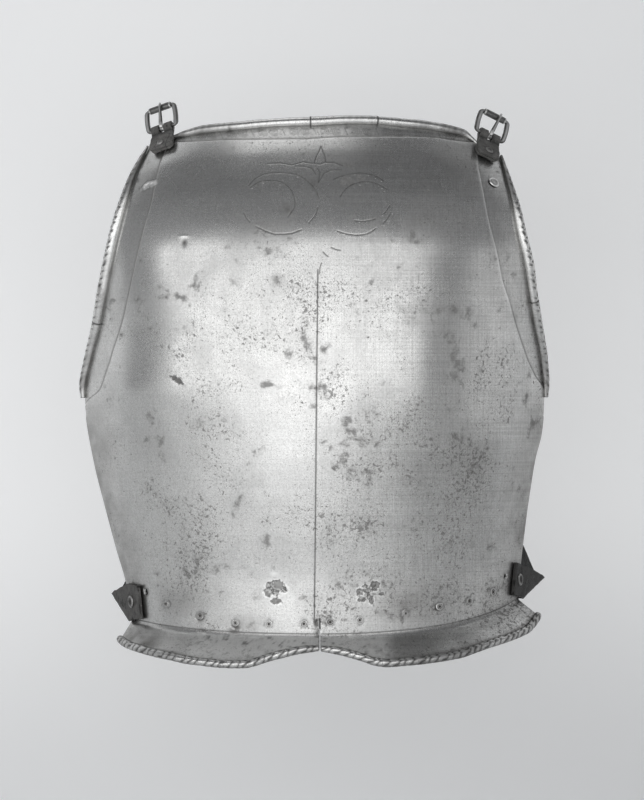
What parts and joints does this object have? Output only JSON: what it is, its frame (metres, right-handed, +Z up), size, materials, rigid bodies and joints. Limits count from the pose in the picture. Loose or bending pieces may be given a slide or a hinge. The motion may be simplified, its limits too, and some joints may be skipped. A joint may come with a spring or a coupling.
{
  "type": "armour backplate",
  "caption": "Steel backplate of a field armour with roped turned edges, a flared waist flange, roller buckles on leather tabs at the shoulders and leather straps at the waist.",
  "frame": {"origin": "the middle of the wearer's waist, level with the incised waist line", "axes": "+Z up along the wearer's spine, +Y towards the wearer's front, +X towards the wearer's right"},
  "size_m": [0.3508, 0.1249, 0.418],
  "materials": {
    "plate_steel": "old polished plate steel with fine scratches, pits and dark stains",
    "iron_wire": "dark forged iron",
    "rivet_iron": "dull worn rivet iron",
    "buckle_steel": "dark filed steel with bright worn edges",
    "leather": "old dark brown leather, dry and creased"
  },
  "bodies": {
    "plate": {"back_plate": "plate_steel", "neck_edge_wire": "iron_wire", "left_arm_edge_wire": "iron_wire", "right_arm_edge_wire": "iron_wire", "waist_edge_wire_left": "iron_wire", "waist_edge_wire_right": "iron_wire", "lining_band": "leather", "lining_rivets": "rivet_iron", "lining_roves": "rivet_iron", "shoulder_plug_rivet": "plate_steel", "left_tab_rivet": "rivet_iron", "left_tab_rove": "rivet_iron", "left_waist_strap_rivet": "rivet_iron", "left_waist_strap_rove": "rivet_iron", "right_tab_rivet": "rivet_iron", "right_tab_rove": "rivet_iron", "right_waist_strap_rivet": "rivet_iron", "right_waist_strap_rove": "rivet_iron"},
    "left_tab": {"left_shoulder_tab": "leather"},
    "left_buckle": {"left_buckle_frame": "buckle_steel"},
    "left_roller": {"left_buckle_roller": "buckle_steel"},
    "left_tongue": {"left_buckle_tongue": "buckle_steel"},
    "left_strap": {"left_waist_strap": "leather"},
    "right_tab": {"right_shoulder_tab": "leather"},
    "right_buckle": {"right_buckle_frame": "buckle_steel"},
    "right_roller": {"right_buckle_roller": "buckle_steel"},
    "right_tongue": {"right_buckle_tongue": "buckle_steel"},
    "right_strap": {"right_waist_strap": "leather"}
  },
  "joints": [
    {"name": "left_tab_swivel", "type": "hinge", "parent": "plate", "child": "left_tab", "pos_m": [-0.11532, -0.07261, 0.35831], "axis": [-0.4908, -0.6121, 0.62], "range_deg": [-3.5, 3.5]},
    {"name": "left_buckle_hinge", "type": "hinge", "parent": "left_tab", "child": "left_buckle", "pos_m": [-0.11625, -0.06473, 0.37231], "axis": [0.8679, -0.4062, 0.286], "range_deg": [-47, 23]},
    {"name": "left_tongue_hinge", "type": "hinge", "parent": "left_buckle", "child": "left_tongue", "pos_m": [-0.11625, -0.06473, 0.37231], "axis": [0.8679, -0.4062, 0.286], "range_deg": [0, 70]},
    {"name": "left_roller_spin", "type": "hinge", "parent": "left_buckle", "child": "left_roller", "pos_m": [-0.11816, -0.05794, 0.38777], "axis": [0.8679, -0.4062, 0.286], "continuous": true},
    {"name": "left_strap_swivel", "type": "hinge", "parent": "plate", "child": "left_strap", "pos_m": [-0.1372, -0.04656, 0.0225], "axis": [-0.846, -0.5247, -0.0946], "range_deg": [-4, 4]},
    {"name": "right_tab_swivel", "type": "hinge", "parent": "plate", "child": "right_tab", "pos_m": [0.12198, -0.07136, 0.35301], "axis": [0.5375, -0.6383, 0.5511], "range_deg": [-3.5, 3.5]},
    {"name": "right_buckle_hinge", "type": "hinge", "parent": "right_tab", "child": "right_buckle", "pos_m": [0.1251, -0.06362, 0.36676], "axis": [0.8417, 0.3663, -0.3967], "range_deg": [-47, 23]},
    {"name": "right_tongue_hinge", "type": "hinge", "parent": "right_buckle", "child": "right_tongue", "pos_m": [0.1251, -0.06362, 0.36676], "axis": [0.8417, 0.3663, -0.3967], "range_deg": [0, 70]},
    {"name": "right_roller_spin", "type": "hinge", "parent": "right_buckle", "child": "right_roller", "pos_m": [0.12933, -0.05701, 0.38184], "axis": [0.8417, 0.3663, -0.3967], "continuous": true},
    {"name": "right_strap_swivel", "type": "hinge", "parent": "plate", "child": "right_strap", "pos_m": [0.1456, -0.04323, 0.03851], "axis": [0.855, -0.5184, -0.0157], "range_deg": [-4, 4]}
  ]
}
